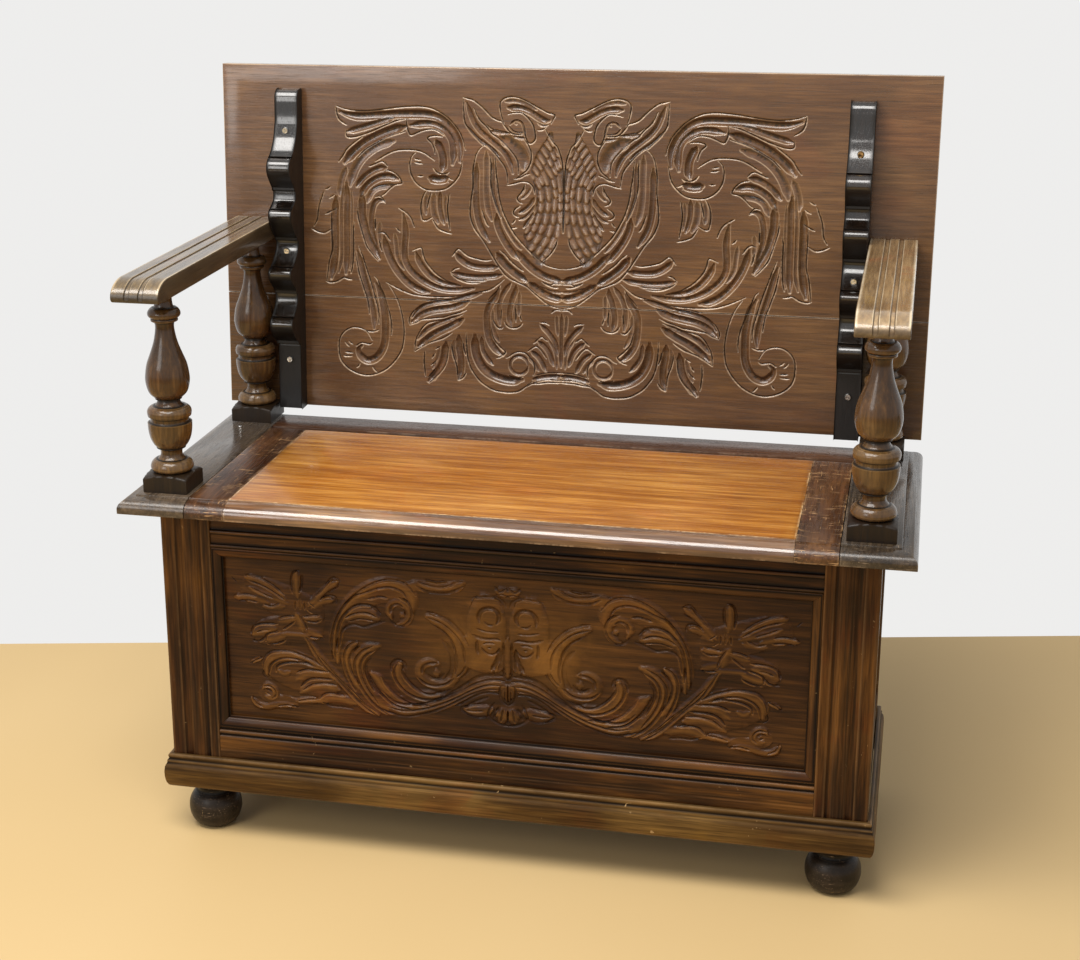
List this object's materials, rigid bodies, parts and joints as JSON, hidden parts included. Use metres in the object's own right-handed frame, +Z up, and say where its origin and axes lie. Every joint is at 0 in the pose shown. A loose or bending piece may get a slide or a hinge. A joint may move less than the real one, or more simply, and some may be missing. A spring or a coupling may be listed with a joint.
{
  "type": "settle bench",
  "caption": "Oak settle bench with a chest under a hinged seat, turned arm posts, bun feet and a carved back that tips forward on pins and slides to make a table.",
  "frame": {"origin": "on the floor under the middle of the whole bench's box", "axes": "+X towards the sitter's left-hand end seen from behind, which is the right of the picture, +Y towards the back, +Z up"},
  "size_m": [0.922, 0.4602, 0.913],
  "materials": {
    "brown_oak": "carved and waxed mid-brown oak, worn pale on the high places",
    "dark_oak": "dark stained oak with golden rubbed highlights",
    "black_oak": "nearly black polished oak",
    "worn_oak": "handled oak, rubbed through to golden wood along its edges",
    "golden_oak": "bright orange-golden polished oak with streaky grain",
    "grey_oak": "grey-brown worn oak with scratches and a dull sheen",
    "steel": "plain steel pins"
  },
  "bodies": {
    "chest": {"foot_front_left": "black_oak", "foot_front_right": "black_oak", "foot_rear_left": "black_oak", "foot_rear_right": "black_oak", "plinth_front": "worn_oak", "plinth_right": "worn_oak", "plinth_back": "worn_oak", "plinth_left": "worn_oak", "post_front_left": "dark_oak", "post_front_right": "dark_oak", "post_rear_left": "dark_oak", "post_rear_right": "dark_oak", "rail_front_top": "dark_oak", "rail_front_bottom": "dark_oak", "rail_right_top": "dark_oak", "rail_right_bottom": "dark_oak", "rail_back_top": "dark_oak", "rail_back_bottom": "dark_oak", "rail_left_top": "dark_oak", "rail_left_bottom": "dark_oak", "panel_front": "dark_oak", "panel_right": "brown_oak", "panel_back": "brown_oak", "panel_left": "brown_oak", "panel_moulding_bottom": "dark_oak", "panel_moulding_top": "dark_oak", "panel_moulding_left": "dark_oak", "panel_moulding_right": "dark_oak", "bottom_board": "brown_oak", "seat_side_left": "grey_oak", "seat_side_right": "grey_oak", "seat_back_rail": "brown_oak", "baluster_front_left": "brown_oak", "baluster_rear_left": "brown_oak", "baluster_front_right": "brown_oak", "baluster_rear_right": "brown_oak", "arm_left": "worn_oak", "arm_right": "worn_oak", "lid_pin_left": "steel", "lid_pin_right": "steel"},
    "lid": {"lid_panel": "golden_oak", "lid_nosing": "worn_oak", "lid_cleat_left": "grey_oak", "lid_cleat_right": "grey_oak"},
    "pins": {"pivot_pin_left": "steel", "pivot_pin_right": "steel"},
    "top": {"top_board_upper": "brown_oak", "top_board_lower": "brown_oak", "bearer_left": "black_oak", "bearer_right": "black_oak"}
  },
  "joints": [
    {"name": "top_tilt", "type": "hinge", "parent": "chest", "child": "pins", "pos_m": [0, 0.18805, 0.707], "axis": [1, 0, 0], "range_deg": [0, 93]},
    {"name": "top_slide", "type": "slide", "parent": "pins", "child": "top", "axis": [0, 0.0523, 0.9986], "range_m": [0, 0.205]},
    {"name": "lid_hinge", "type": "hinge", "parent": "chest", "child": "lid", "pos_m": [0, 0.11186, 0.442], "axis": [-1, 0, 0], "range_deg": [0, 42]}
  ]
}
